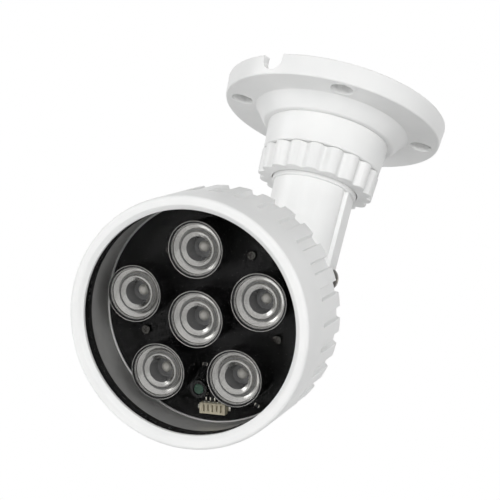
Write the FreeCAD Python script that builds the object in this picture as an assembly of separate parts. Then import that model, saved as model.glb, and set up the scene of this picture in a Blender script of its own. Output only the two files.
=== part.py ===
import FreeCAD, Part
import math
import os

os.makedirs("parts", exist_ok=True)

V = FreeCAD.Vector

# Infrared illuminator on a ceiling bracket, in millimetres.
# The origin is the centre of the bracket's mounting face. +Z points up, into the ceiling.
# The head faces -Y and down. The elbow turns about an axis along X.
# The head's pieces are drawn in the head's own frame: its front face lies in z = 0, +z runs
# to the rear along the optical axis, +x is the elbow's axis and +y is the head's underside.

# Fits and gaps
RUNNING = 0.05          # radial gap of a shaft that turns in its hole
LOOSE = 0.4             # radial gap between pieces that turn past each other
SEAT = 0.05             # radial gap of a screwed or slipped-in piece

# Bracket base
BASE_R = 50.7
BASE_DRAFT = 0.9        # radius lost from the mounting face to the underside
BASE_DEPTH = 9.0
BASE_PLATE = 3.5        # thickness of the plate behind the underside
RIM_WALL = 3.5
RIM_EDGE = 0.9          # rounding of the underside's edge
BOLT_CIRCLE_R = 42.0
BOLT_COUNT = 4
BOLT_PHASE = 18.5       # angle of the first bolt hole from +X
BOLT_HOLE_R = 2.6
BOLT_SINK_R = 4.6       # counterbore for the screw's head
BOLT_SINK_DEPTH = 4.5
BOLT_LIP = 0.4          # rounding of the counterbore's lip
BOLT_BOSS_R = 6.2
NOTCH_ANGLE = 249.0     # direction of the cable notch in the rim
NOTCH_R = 5.1
NOTCH_DEPTH = 7.0
NOTCH_OVERRUN = 3.0     # how far the notch's cutter passes the rim on each side
FLARE_R = 35.65
FLARE_DEPTH = 7.0
FLARE_BULGE = 2.2       # how far the flare's curve stands out from its chord
NECK_TOP_R = 27.7
NECK_END_R = 26.6
NECK_LENGTH = 13.0
NECK_GROOVE = 0.7       # depth of the groove between flare and neck
THREAD_R = 22.7         # threaded end of the neck, inside the collar
THREAD_LENGTH = 7.0
HOLLOW_TOP_R = 33.0     # cable hollow behind the flare, at the plate
HOLLOW_DEPTH = 12.0     # depth of that hollow's cone

# Slip washer and locking collar
WASHER_THICK = 0.8
COLLAR_GAP = 0.2        # between neck end and collar
COLLAR_LENGTH = 11.6
COLLAR_TOP_R = 27.0
COLLAR_END_R = 26.2
COLLAR_EDGE = 0.5
COLLAR_LOBES = 18
COLLAR_PHASE = 9.0      # angle of the first valley from +X
COLLAR_VALLEY = 2.4
COLLAR_VALLEY_SPREAD = 0.215    # half width of a valley, as a share of the lobe pitch
COLLAR_FLANK = 0.53     # share of the depth where a valley's arc meets the lobe's
COLLAR_OVER = 0.3       # how far the edge rounding starts outside the lobes
COLLAR_LIP = 1.8

# Upper arm
ARM_PIN_R = 18.0        # part that turns in the neck's bore
ARM_PIN_LENGTH = 12.0
ARM_BORE_R = 7.0        # cable bore from the neck to the elbow
ARM_FLANGE_R = 22.1
ARM_FLANGE_THICK = 2.2
ARM_RING_R = 19.3
ARM_RING_DROP = 1.6     # how far the ring shows below the collar
ARM_TOP_R = 18.2
PIVOT_DROP = 81.5       # mounting face to elbow axis
LUG_R = 16.5
LUG_GAP = 0.4           # from the elbow's middle plane to each lug's face
SHOULDER_CLEAR = 1.5    # from a lug's round end to the other arm's shoulder
SHOULDER_RISE = 14.0
SIDE_FLAT_X = 15.9      # flat on the arm's outer side, under the ring
RIB_WIDTH = 11.0
RIB_FACE_X = 17.7
RIB_ROOT_X = 14.0

# Cable passage round the elbow's screw, the same in both arms
POCKET_INNER_R = 5.0
POCKET_OUTER_R = 12.2
POCKET_DEPTH = 8.5
PASSAGE_R = 3.5         # bore from the pocket up to the arm's own bore
PASSAGE_LENGTH = 7.0    # chamber that joins the two bores, along the arm
CAST_WALL = 3.0

# Elbow fasteners
SCREW_R = 2.5
SCREW_HEAD_R = 4.25
SCREW_HEAD_HEIGHT = 3.8
SCREW_SOCKET_FLAT = 2.5
SCREW_SOCKET_DEPTH = 1.3
NUT_FLAT = 8.0
NUT_HEIGHT = 4.0
NUT_POCKET_DEPTH = 5.2
NUT_WASHER_THICK = 1.0
NUT_POCKET_SLACK = 0.25
DISC_INNER_R = 12.8
DISC_OUTER_R = 15.8

# Head
TILT = 62.6             # head axis from straight down, at rest
HEAD_REACH = 120.7      # front face to elbow axis
STEM_R = 9.5
STEM_BORE_R = 4.5
STEM_FLANGE_R = 19.0
STEM_FLANGE_THICK = 4.0
STEM_GASKET_THICK = 0.8
STEM_NUT_FLAT = 26.0
STEM_NUT_THICK = 5.0
REAR_WALL = 4.0

# Front bezel
BEZEL_R = 47.0
BEZEL_LENGTH = 39.5
BEZEL_EDGE = 1.6
LIP_WIDTH = 5.23        # from the bezel's outside to the lip's edge
LIP_SETBACK = 1.65      # depth of the lip's edge behind the front face
LIP_CHAMFER = 1.9       # radial width of the sloped band inside the front face
LIP_THICK = 1.5
BEZEL_WALL = 2.8
TEETH = 30
TOOTH_START = 18.2
TOOTH_DEPTH = 1.8
NOTCH_FLOOR_WIDTH = 3.5
NOTCH_TOP_WIDTH = 4.6
TOOTH_PHASE = 4.4       # angle of the first notch
TOOTH_EDGE = 1.2        # rounding of the teeth's rear edge

# Window stack
GASKET_WALL = 1.2
GASKET_FLAP = 0.4
GLASS_THICK = 3.0
GASKET_LENGTH = 5.9
GLASS_BITE = 0.8        # how far the gasket reaches over the glass
SLEEVE_WALL = 0.9
BOARD_DEPTH = 25.4      # front face to the emitter board
BOARD_THICK = 1.6
SINK_THICK = 4.0
STACK_GAP = 0.6         # between the stack and the bezel's bore

# Housing
HOUSING_WALL = 3.0
THREAD_WALL = 4.6       # wall of the threaded part
HOUSING_STEP = 4.0      # from the bezel's outside to the housing's
HOUSING_STRAIGHT = 5.0  # straight part behind the bezel
DOME_DROP = 7.6         # radius lost half way round the dome
DOME_MID_SHARE = 0.473  # place of that half way along the dome
DOME_END_RIM = 2.5      # dome's flat end outside the stem's flange
ORING_R = 1.0
ORING_GROOVE = 1.15     # the groove's length over the ring's thickness
STEP_GAP = 0.4          # bezel's rear end to the housing's step
ORING_BACK = 3.5        # from the bezel's rear end to the ring

# Rubber seal round the cable where it enters the housing
CABLE_R = 2.75
SEAL_FLANGE_R = 7.0
SEAL_FLANGE_THICK = 2.0
SEAL_LENGTH = 14.0

# Emitters
EMITTER_COUNT = 5
EMITTER_GAP = 3.8       # between the centre holder's foot and the outer ones'
EMITTER_RIM_GAP = 5.6   # from the outer holders' feet to the sleeve
BOARD_ROLL = -6.5       # turn of the emitter board about the head's axis
HOLDER_FRONT = 9.7      # front face to the holders' front rim
HOLDER_WALL = 0.8
HOLDER_WAIST = 0.35
HOLDER_FOOT_STEP = 0.35
HOLDER_FOOT = 1.0
HOLDER_RIM = 1.5
LENS_SETBACK = 0.4
LENS_FLANGE = 1.3
LENS_CONE_STEP = 0.8    # from the lens's edge to the cone's
LENS_TAIL_R = 4.3
LENS_TAIL_GAP = 2.2     # lens tail to board
LENS_CONE_BULGE = 1.5
LENS_EYE_R = 5.0        # recess in the lens's front
LENS_EYE_DEPTH = 1.8
LENS_EYE_RISE = 1.2     # height of the dome in that recess
LENS_WELL_R = 3.3       # well over the emitter
LENS_WELL_DEPTH = 4.0
LENS_WELL_RISE = 1.2
CHIP_WIDTH = 5.0
CHIP_THICK = 1.0
CHIP_DOME_R = 2.3

# Things on the emitter board
BOARD_SCREW_OUT = 2.0   # board screws outside the emitters' circle
BOARD_SCREW_R = 1.0
BOARD_SCREW_HEAD_R = 1.9
BOARD_SCREW_HEAD = 1.3
BOARD_SCREW_EDGE = 0.5
BOARD_SCREW_SLOT = 0.5
SENSOR_OUT = 1.1        # sensor outside the emitters' circle
SENSOR_FRONT = 12.6
SENSOR_R = 1.95
SENSOR_THICK = 2.0
SENSOR_SLEEVE_R = 3.35
SENSOR_SLEEVE_WALL = 1.2
SENSOR_LEAD_R = 0.3
SENSOR_LEAD_SPREAD = 1.2
CONNECTOR_RIM_GAP = 3.1 # from the connector's outer corner to the sleeve
CONNECTOR_SHIFT = 1.6   # sideways from the sensor's radius
CONNECTOR_WIDTH = 10.4
CONNECTOR_DEEP = 4.1
CONNECTOR_HEIGHT = 3.0
CONNECTOR_WALL = 0.6
PIN_COUNT = 5
PIN_PITCH = 1.75
PIN_WIDTH = 0.6
PIN_REACH = 1.8
TAB_WIDTH = 1.6
TAB_DEEP = 1.8
TAB_HEIGHT = 1.0
RESISTOR_LENGTH = 2.0
RESISTOR_WIDTH = 1.2
RESISTOR_HEIGHT = 0.6
# each resistor's share of the sleeve's inner radius, and its angle
RESISTOR_PLACES = ((0.48, 90.0), (0.92, 54.9), (0.897, 126.5), (0.77, 69.5))

# Driver electronics
DRIVER_GAP = 12.0       # heat sink to driver board
DRIVER_RIM_GAP = 7.0    # from the driver board's edge to the housing
DRIVER_THICK = 1.6
STANDOFF_R = 2.6
STANDOFF_IN = 5.0       # standoffs inside the driver board's edge
STANDOFF_COUNT = 3
STANDOFF_SCREW_R = 1.5
STANDOFF_SCREW_HEAD_R = 2.7
STANDOFF_SCREW_HEAD = 1.8
COIL_R = 6.5
COIL_HEIGHT = 8.0
COIL_X = -12.0
CAPACITOR_R = 5.0
CAPACITOR_HEIGHT = 11.0
CAPACITOR_X = 12.0
DRIVER_CHIP = (6.0, 5.0, 1.8)
DRIVER_CHIP_Y = -12.0
LINK_R = 1.1
LINK_X = 0.0            # the links end under the centre lens
LINK_Y = 7.5
LINK_SPREAD = 4.0
LINK_CLEAR = 0.4        # radial gap of a link in the heat sink

# Places worked out from the sizes above
under_z = -BASE_DEPTH
neck_top_z = under_z - FLARE_DEPTH
neck_end_z = neck_top_z - NECK_LENGTH
thread_end_z = neck_end_z - THREAD_LENGTH
neck_bore_r = ARM_PIN_R + RUNNING
flange_top_z = thread_end_z - WASHER_THICK
flange_end_z = flange_top_z - ARM_FLANGE_THICK
collar_top_z = neck_end_z - COLLAR_GAP
collar_end_z = min(collar_top_z - COLLAR_LENGTH, flange_end_z - COLLAR_LIP)
ring_end_z = collar_end_z - ARM_RING_DROP
pin_top_z = thread_end_z + ARM_PIN_LENGTH
pivot = V(0, 0, -PIVOT_DROP)
shoulder = LUG_R + SHOULDER_CLEAR
lip_r = BEZEL_R - LIP_WIDTH
lip_back_z = LIP_SETBACK + LIP_THICK
bezel_bore_r = BEZEL_R - BEZEL_WALL
gasket_r = bezel_bore_r - 0.25
gasket_inner_r = gasket_r - GASKET_WALL
glass_r = gasket_inner_r + GLASS_BITE
glass_z = lip_back_z + GASKET_FLAP
gasket_end_z = lip_back_z + GASKET_LENGTH
stack_r = bezel_bore_r - STACK_GAP
sleeve_inner_r = stack_r - SLEEVE_WALL
holder_foot_r = (sleeve_inner_r - EMITTER_RIM_GAP - EMITTER_GAP) / 3
holder_r = holder_foot_r - HOLDER_FOOT_STEP
emitter_circle_r = 2 * holder_foot_r + EMITTER_GAP
board_screw_circle_r = emitter_circle_r + BOARD_SCREW_OUT
sensor_circle_r = emitter_circle_r + SENSOR_OUT
connector_side = CONNECTOR_WIDTH / 2 + CONNECTOR_SHIFT
connector_edge = math.sqrt((sleeve_inner_r - CONNECTOR_RIM_GAP) ** 2 - connector_side ** 2)
sink_z = BOARD_DEPTH + BOARD_THICK
housing_z = sink_z + SINK_THICK
stem_flange_z = HEAD_REACH - shoulder - SHOULDER_RISE - STEM_FLANGE_THICK - 1.0
rear_z = stem_flange_z - STEM_GASKET_THICK
housing_r = BEZEL_R - HOUSING_STEP
dome_z = BEZEL_LENGTH + HOUSING_STRAIGHT
dome_mid_z = dome_z + DOME_MID_SHARE * (rear_z - dome_z)
driver_r = housing_r - HOUSING_WALL - DRIVER_RIM_GAP
standoff_circle_r = driver_r - STANDOFF_IN
oring_z = BEZEL_LENGTH - ORING_BACK
driver_z = housing_z + DRIVER_GAP
holder_bore_r = holder_r - HOLDER_WALL
lens_z = HOLDER_FRONT + LENS_SETBACK
stem_end_z = rear_z - REAR_WALL - STEM_NUT_THICK - 3
emitter_angles = [-90 + BOARD_ROLL + 360 / EMITTER_COUNT * k for k in range(EMITTER_COUNT)]
gap_angles = [a + 180 / EMITTER_COUNT for a in emitter_angles]
service_angle = 90 + BOARD_ROLL
screw_angles = [a for a in gap_angles if abs((a - service_angle) % 360) > 1]


# Drawing helpers

def outline(points, plane="xz"):
    """Closed wire through (u, v), (u, v, corner radius) or (u, v, 0, middle of the arc that ends there)."""
    def at(u, v):
        return V(u, 0, v) if plane == "xz" else V(u, v, 0)

    count = len(points)
    starts, ends, arcs = [], [], []
    for k in range(count):
        here = at(points[k][0], points[k][1])
        radius = points[k][2] if len(points[k]) > 2 else 0
        if radius == 0:
            starts.append(here)
            ends.append(here)
            arcs.append(None)
            continue
        before = at(points[k - 1][0], points[k - 1][1]) - here
        after = at(points[(k + 1) % count][0], points[(k + 1) % count][1]) - here
        half = before.getAngle(after) / 2
        before.normalize()
        after.normalize()
        reach = radius / math.tan(half)
        middle = (before + after).normalize() * (radius / math.sin(half) - radius)
        starts.append(here + before * reach)
        ends.append(here + after * reach)
        arcs.append(here + middle)
    edges = []
    for k in range(count):
        if arcs[k] is not None:
            edges.append(Part.Arc(starts[k], arcs[k], ends[k]).toShape())
        following = points[(k + 1) % count]
        a, b = ends[k], starts[(k + 1) % count]
        if len(following) > 3:
            edges.append(Part.Arc(a, at(*following[3]), b).toShape())
        elif (b - a).Length > 1e-6:
            edges.append(Part.makeLine(a, b))
    return Part.Wire(edges)


def turned(points):
    """Solid of revolution about Z from an (r, z) outline."""
    return Part.Face(outline(points)).revolve(V(0, 0, 0), V(0, 0, 1), 360)


def tube(outer, inner, z0, z1):
    return turned([(inner, z0), (outer, z0), (outer, z1), (inner, z1)])


def rod(radius, z0, z1, x=0.0, y=0.0):
    return Part.makeCylinder(radius, z1 - z0, V(x, y, z0))


def cross_rod(radius, x0, x1, z=0.0):
    """Cylinder along X."""
    return Part.makeCylinder(radius, x1 - x0, V(x0, 0, z), V(1, 0, 0))


def block(x0, x1, y0, y1, z0, z1):
    return Part.makeBox(x1 - x0, y1 - y0, z1 - z0, V(x0, y0, z0))


def hexagon(flat, z0, z1):
    """Upright hexagonal prism with the given width across flats."""
    corner = flat / math.sqrt(3)
    points = [V(corner * math.cos(math.radians(60 * k)), corner * math.sin(math.radians(60 * k)), z0)
              for k in range(6)]
    return Part.Face(Part.makePolygon(points + points[:1])).extrude(V(0, 0, z1 - z0))


def spun(shape, angle):
    """Copy turned about Z."""
    copy = shape.copy()
    copy.rotate(V(0, 0, 0), V(0, 0, 1), angle)
    return copy


def moved(shape, x, y, z=0.0):
    copy = shape.copy()
    copy.translate(V(x, y, z))
    return copy


def ring_place(radius, angle):
    return radius * math.cos(math.radians(angle)), radius * math.sin(math.radians(angle))


def along_x(shape):
    """Copy with its Z axis laid along +X."""
    copy = shape.copy()
    copy.rotate(V(0, 0, 0), V(0, 1, 0), 90)
    return copy


def bulged(r0, z0, r1, z1, bulge):
    """Middle point of an arc from (r0, z0) to (r1, z1) that stands out to the right of its chord."""
    length = math.hypot(r1 - r0, z1 - z0)
    return ((r0 + r1) / 2 - (z1 - z0) / length * bulge, (z0 + z1) / 2 + (r1 - r0) / length * bulge)


def cap_middle(radius, edge_z, rise):
    """Middle point of a dome's arc from (radius, edge_z) to the axis, rise further along z."""
    ball = (radius ** 2 + rise ** 2) / (2 * abs(rise))
    half = math.asin(min(1.0, radius / ball)) / 2
    return (ball * math.sin(half), edge_z + rise - math.copysign(ball * (1 - math.cos(half)), rise))


def merged(shapes):
    whole = shapes[0].multiFuse(shapes[1:]) if len(shapes) > 1 else shapes[0]
    return whole.removeSplitter()


# Bracket

def base_hole():
    """Cutter of one screw hole: a counterbore with a rounded lip, and the screw's own hole."""
    lip_r = BOLT_SINK_R + BOLT_LIP
    turn = BOLT_LIP * math.sqrt(0.5)
    cutter = turned([
        (0, under_z - 1), (lip_r, under_z - 1), (lip_r, under_z),
        (BOLT_SINK_R, under_z + BOLT_LIP, 0, (lip_r - turn, under_z + BOLT_LIP - turn)),
        (BOLT_SINK_R, under_z + BOLT_SINK_DEPTH), (BOLT_HOLE_R, under_z + BOLT_SINK_DEPTH),
        (BOLT_HOLE_R, 1), (0, 1),
    ])
    return moved(cutter, *ring_place(BOLT_CIRCLE_R, BOLT_PHASE))


def cable_notch():
    """U-shaped cutter that runs out through the rim."""
    centre = NOTCH_R - NOTCH_DEPTH
    side = [(-NOTCH_R, 1), (-NOTCH_R, centre), (NOTCH_R, centre, 0, (0, -NOTCH_DEPTH)), (NOTCH_R, 1)]
    cutter = Part.Face(outline(side)).extrude(V(0, RIM_WALL + 2 * NOTCH_OVERRUN, 0))
    cutter.translate(V(0, BASE_R - RIM_WALL - NOTCH_OVERRUN, 0))
    return spun(cutter, NOTCH_ANGLE - 90)


def bracket_base():
    groove_r = NECK_TOP_R - NECK_GROOVE
    inner_rim = BASE_R - RIM_WALL
    plate_z = under_z + BASE_PLATE
    hollow_r = min(HOLLOW_TOP_R, FLARE_R - 2)
    points = [
        (inner_rim, 0), (BASE_R, 0, 0.3), (BASE_R - BASE_DRAFT, under_z, RIM_EDGE), (FLARE_R, under_z),
        (groove_r, neck_top_z + NECK_GROOVE / 2, 0,
         bulged(groove_r, neck_top_z + NECK_GROOVE / 2, FLARE_R, under_z, -FLARE_BULGE)),
        (NECK_TOP_R, neck_top_z, 0.25), (NECK_END_R, neck_end_z, 0.3), (THREAD_R, neck_end_z),
        (THREAD_R, thread_end_z, 0.4), (neck_bore_r, thread_end_z),
        (neck_bore_r, plate_z - HOLLOW_DEPTH), (hollow_r, plate_z), (inner_rim, plate_z),
    ]
    body = turned(points)
    bosses = []
    holes = []
    for k in range(BOLT_COUNT):
        x, y = ring_place(BOLT_CIRCLE_R, BOLT_PHASE)
        bosses.append(spun(rod(BOLT_BOSS_R, plate_z, 0, x, y), 360 / BOLT_COUNT * k))
        holes.append(spun(base_hole(), 360 / BOLT_COUNT * k))
    limit = rod(BASE_R - BASE_DRAFT, under_z, 0)
    bosses = [b.common(limit) for b in bosses]
    return merged([body] + bosses).cut(Part.makeCompound(holes)).cut(cable_notch())


def slip_washer():
    return tube(THREAD_R - 0.4, neck_bore_r + 0.3, flange_top_z, thread_end_z)


def scallop_outline(crest, z):
    """Closed wire of wide lobes with narrow valleys between them, at height z."""
    pitch = 360 / COLLAR_LOBES
    spread = pitch * COLLAR_VALLEY_SPREAD
    valley = crest - COLLAR_VALLEY
    flank = crest - COLLAR_VALLEY * COLLAR_FLANK

    def at(radius, angle):
        return V(*ring_place(radius, angle), z)

    edges = []
    for k in range(COLLAR_LOBES):
        a = COLLAR_PHASE + k * pitch
        low, high = at(flank, a - spread), at(flank, a + spread)
        edges.append(Part.Arc(low, at(valley, a), high).toShape())
        edges.append(Part.Arc(high, at(crest, a + pitch / 2), at(flank, a + pitch - spread)).toShape())
    return Part.Wire(edges)


def lock_collar():
    edge = COLLAR_EDGE + COLLAR_OVER
    drum = turned([
        (0, collar_top_z), (COLLAR_TOP_R + COLLAR_OVER, collar_top_z, edge),
        (COLLAR_END_R + COLLAR_OVER, collar_end_z, edge), (0, collar_end_z),
    ])
    wires = [scallop_outline(COLLAR_END_R, collar_end_z), scallop_outline(COLLAR_TOP_R, collar_top_z)]
    lobes = Part.makeLoft(wires, True, True)
    bore = rod(THREAD_R + SEAT, collar_end_z + COLLAR_LIP, collar_top_z + 1)
    mouth = rod(ARM_RING_R + LOOSE, collar_end_z - 1, collar_top_z)
    return drum.common(lobes).cut(bore.fuse(mouth))


# Arms. Each is an upright tapered shaft whose end is halved into a lug round the elbow axis.

def round_end(pivot_z, below):
    """Ball-like end round the elbow axis: a cross cylinder trimmed by the upright shaft."""
    end = cross_rod(LUG_R, -LUG_R, LUG_R, pivot_z)
    end = end.common(rod(LUG_R, pivot_z - LUG_R, pivot_z + LUG_R))
    if below:
        return end.common(block(-LUG_R, LUG_R, -LUG_R, LUG_R, pivot_z - LUG_R, pivot_z))
    return end.common(block(-LUG_R, LUG_R, -LUG_R, LUG_R, pivot_z, pivot_z + LUG_R))


def lap_cutter(pivot_z, side, up):
    """Space cleared on one side of the elbow's middle plane. side and up are +1 or -1."""
    far = LUG_R * 1.25
    root = pivot_z + up * shoulder
    rim = root + up * SHOULDER_RISE
    end = pivot_z - up * (LUG_R + 2)
    middle = (side * far * 0.68, root + up * SHOULDER_RISE * 0.27)
    points = [
        (-side * LUG_GAP, end), (-side * LUG_GAP, root), (side * far, rim, 0, middle), (side * far, end),
    ]
    return Part.Face(outline(points)).extrude(V(0, 2 * far, 0)).translated(V(0, -far, 0))


def cable_passage(pivot_z, side, up):
    """Ring-shaped pocket round the screw, and the offset bore from it to the arm's middle."""
    ring = cross_rod(POCKET_OUTER_R, *sorted((-side, side * POCKET_DEPTH)), pivot_z)
    wall = LUG_R - CAST_WALL
    ring = ring.common(rod(wall, pivot_z - wall, pivot_z + wall))
    ring = ring.cut(cross_rod(POCKET_INNER_R, -POCKET_DEPTH - 2, POCKET_DEPTH + 2, pivot_z))
    offset = side * (POCKET_DEPTH - PASSAGE_R)
    root = pivot_z + up * (shoulder + PASSAGE_R)
    tip = root + up * PASSAGE_LENGTH
    low, high = min(root, tip), max(root, tip)
    start = pivot_z + up * (POCKET_INNER_R + 1)
    bore = rod(PASSAGE_R, min(start, tip), max(start, tip), offset)
    chamber = block(min(0, offset), max(0, offset), -PASSAGE_R, PASSAGE_R, low, high)
    return [ring, bore, chamber.fuse(rod(PASSAGE_R, low, high))]


def upper_arm():
    shaft = turned([
        (0, pin_top_z), (ARM_PIN_R, pin_top_z, 0.4), (ARM_PIN_R, flange_top_z),
        (ARM_FLANGE_R, flange_top_z, 0.3), (ARM_FLANGE_R, flange_end_z), (ARM_RING_R, flange_end_z),
        (ARM_RING_R, ring_end_z, 0.4), (ARM_TOP_R, ring_end_z), (LUG_R, pivot.z), (0, pivot.z),
    ])
    flat = block(SIDE_FLAT_X, ARM_RING_R, -ARM_RING_R, ARM_RING_R, pivot.z - LUG_R, ring_end_z)
    half = RIB_WIDTH / 2
    rib = block(RIB_ROOT_X, RIB_FACE_X, -half, half, pivot.z, ring_end_z)
    rib = rib.fuse(cross_rod(half, RIB_ROOT_X, RIB_FACE_X, pivot.z))
    arm = shaft.fuse(round_end(pivot.z, True)).cut([lap_cutter(pivot.z, -1, 1), flat])
    arm = arm.fuse(rib).removeSplitter()
    bore = rod(ARM_BORE_R, pivot.z + shoulder + PASSAGE_R + PASSAGE_LENGTH / 2, pin_top_z + 1)
    hole = cross_rod(SCREW_R + RUNNING, -1, RIB_FACE_X + 1, pivot.z)
    return arm.cut([bore, hole] + cable_passage(pivot.z, 1, 1))


def pivot_screw():
    dome_r = SCREW_HEAD_R * 1.25
    head = Part.makeSphere(dome_r)
    head.translate(V(0, 0, SCREW_HEAD_HEIGHT - dome_r))
    head = head.common(rod(SCREW_HEAD_R, 0, SCREW_HEAD_HEIGHT))
    socket = hexagon(SCREW_SOCKET_FLAT, SCREW_HEAD_HEIGHT - SCREW_SOCKET_DEPTH, SCREW_HEAD_HEIGHT + 1)
    head = head.cut(socket)
    nut_face = LUG_R - NUT_POCKET_DEPTH + NUT_WASHER_THICK + NUT_HEIGHT
    shank = rod(SCREW_R, -RIB_FACE_X - nut_face - 0.6, 0)
    screw = head.fuse(shank).removeSplitter()
    screw = along_x(screw)
    screw.translate(V(RIB_FACE_X, 0, pivot.z))
    return screw


# Elbow pieces that tilt with the head, and the lower arm. All in the head's frame.

def lower_arm():
    z_end = HEAD_REACH
    body = turned([
        (0, stem_end_z), (STEM_R, stem_end_z, 0.6), (STEM_R, stem_flange_z),
        (STEM_FLANGE_R, stem_flange_z, 0.5), (STEM_FLANGE_R, stem_flange_z + STEM_FLANGE_THICK, 1.5),
        (LUG_R, stem_flange_z + STEM_FLANGE_THICK), (LUG_R, z_end), (0, z_end),
    ])
    bore = rod(STEM_BORE_R, stem_end_z - 1, z_end - shoulder - PASSAGE_R - PASSAGE_LENGTH / 2)
    arm = body.fuse(round_end(z_end, False)).cut(lap_cutter(z_end, 1, -1))
    pocket = along_x(hexagon(NUT_FLAT + 2 * NUT_POCKET_SLACK, 0, NUT_POCKET_DEPTH + 2))
    pocket.translate(V(-LUG_R - 2, 0, z_end))
    hole = cross_rod(SCREW_R + RUNNING, -LUG_R - 1, 1, z_end)
    return arm.removeSplitter().cut([bore, pocket, hole] + cable_passage(z_end, -1, -1))


def elbow_disc():
    disc = cross_rod(DISC_OUTER_R, -LUG_GAP, LUG_GAP, HEAD_REACH)
    return disc.cut(cross_rod(DISC_INNER_R, -1, 1, HEAD_REACH))


def nut_washer():
    floor = -LUG_R + NUT_POCKET_DEPTH
    ring = cross_rod(NUT_FLAT / 2 - 0.1, floor - NUT_WASHER_THICK, floor, HEAD_REACH)
    return ring.cut(cross_rod(SCREW_R + RUNNING, -LUG_R, 0, HEAD_REACH))


def pivot_nut():
    face = -LUG_R + NUT_POCKET_DEPTH - NUT_WASHER_THICK
    nut = along_x(hexagon(NUT_FLAT, 0, NUT_HEIGHT))
    nut.translate(V(face - NUT_HEIGHT, 0, HEAD_REACH))
    return nut.cut(cross_rod(SCREW_R + RUNNING, -LUG_R - NUT_HEIGHT, 0, HEAD_REACH))


def stem_gasket():
    return tube(STEM_FLANGE_R - 1, STEM_R + 0.2, rear_z, stem_flange_z)


def stem_nut():
    face = rear_z - REAR_WALL
    return hexagon(STEM_NUT_FLAT, face - STEM_NUT_THICK, face).cut(rod(STEM_R, face - STEM_NUT_THICK, face))


# Head shell

def front_bezel():
    chamfer_r = lip_r + LIP_CHAMFER
    shell = turned([
        (lip_r, LIP_SETBACK, 0.2), (chamfer_r, 0, 0.4), (BEZEL_R, 0, BEZEL_EDGE),
        (BEZEL_R, BEZEL_LENGTH, TOOTH_EDGE), (bezel_bore_r, BEZEL_LENGTH), (bezel_bore_r, lip_back_z),
        (lip_r, lip_back_z),
    ])
    floor_r = BEZEL_R - TOOTH_DEPTH
    section = [
        (floor_r, -NOTCH_FLOOR_WIDTH / 2), (BEZEL_R + 0.5, -NOTCH_TOP_WIDTH / 2 - 0.2),
        (BEZEL_R + 0.5, NOTCH_TOP_WIDTH / 2 + 0.2), (floor_r, NOTCH_FLOOR_WIDTH / 2),
    ]
    slot = Part.Face(outline(section, "xy")).extrude(V(0, 0, BEZEL_LENGTH))
    slot.translate(V(0, 0, TOOTH_START))
    slots = [spun(slot, TOOTH_PHASE + 360 / TEETH * k) for k in range(TEETH)]
    return shell.cut(Part.makeCompound(slots))


def window_gasket():
    glass_end = glass_z + GLASS_THICK
    return turned([
        (gasket_inner_r, lip_back_z), (gasket_r, lip_back_z), (gasket_r, gasket_end_z),
        (gasket_inner_r, gasket_end_z), (gasket_inner_r, glass_end), (glass_r, glass_end),
        (glass_r, glass_z), (gasket_inner_r, glass_z),
    ])


def window_glass():
    return rod(glass_r, glass_z, glass_z + GLASS_THICK)


def inner_sleeve():
    return tube(stack_r, sleeve_inner_r, gasket_end_z, BOARD_DEPTH)


def heat_sink():
    plate = rod(stack_r, sink_z, housing_z)
    holes = [rod(BOARD_SCREW_R, sink_z - 1, housing_z + 1, *ring_place(board_screw_circle_r, a))
             for a in screw_angles]
    holes += [rod(STANDOFF_SCREW_R, sink_z - 1, housing_z + 1, *place) for place in standoff_places()]
    holes += [rod(LINK_R + LINK_CLEAR, sink_z - 1, housing_z + 1, *place) for place in link_places()]
    return plate.cut(Part.makeCompound(holes))


def housing_oring():
    centre_r = bezel_bore_r - ORING_R
    return Part.makeTorus(centre_r, ORING_R, V(0, 0, oring_z))


def dome_outline(offset, end_z):
    """(r, z) points of the rear dome's arc, moved inward by offset."""
    return [
        (housing_r - offset, dome_z),
        (STEM_FLANGE_R + DOME_END_RIM - offset, end_z, 0,
         (housing_r - DOME_DROP - offset, dome_mid_z - offset / 2)),
    ]


def housing():
    thread_r = bezel_bore_r - SEAT
    floor_r = bezel_bore_r - 2 * ORING_R
    front_r = thread_r - THREAD_WALL
    groove = ORING_R * ORING_GROOVE
    step_z = BEZEL_LENGTH + STEP_GAP
    inner_floor_z = rear_z - REAR_WALL
    outer = [
        (0, housing_z), (thread_r, housing_z, 0.5), (thread_r, oring_z - groove),
        (floor_r, oring_z - groove), (floor_r, oring_z + groove),
        (thread_r, oring_z + groove), (thread_r, step_z), (housing_r, step_z),
    ] + dome_outline(0, rear_z) + [(0, rear_z)]
    inner = [
        (0, housing_z - 1), (front_r, housing_z - 1), (front_r, step_z),
        (housing_r - HOUSING_WALL, step_z + HOUSING_WALL),
    ] + dome_outline(HOUSING_WALL, inner_floor_z) + [(0, inner_floor_z)]
    shell = turned(outer)
    stem_hole = rod(STEM_R, inner_floor_z - 1, rear_z + 1)
    return shell.cut([turned(inner), stem_hole])


def cable_seal():
    flange_z = stem_end_z - SEAL_FLANGE_THICK
    r = STEM_BORE_R - SEAT
    return turned([
        (CABLE_R, flange_z), (SEAL_FLANGE_R, flange_z, 0.4), (SEAL_FLANGE_R, stem_end_z),
        (r, stem_end_z), (r, stem_end_z + SEAL_LENGTH, 0.3), (CABLE_R, stem_end_z + SEAL_LENGTH),
    ])


# Emitter modules, drawn on the head's axis and moved to their places

def lens_holder():
    foot_z = BOARD_DEPTH - HOLDER_FOOT
    waist_r = holder_r - HOLDER_WAIST
    return turned([
        (holder_bore_r, HOLDER_FRONT), (holder_r, HOLDER_FRONT, 0.25), (holder_r, HOLDER_FRONT + HOLDER_RIM),
        (waist_r, HOLDER_FRONT + HOLDER_RIM + 0.3), (waist_r, foot_z), (holder_foot_r, foot_z),
        (holder_foot_r, BOARD_DEPTH), (holder_bore_r, BOARD_DEPTH),
    ])


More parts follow.
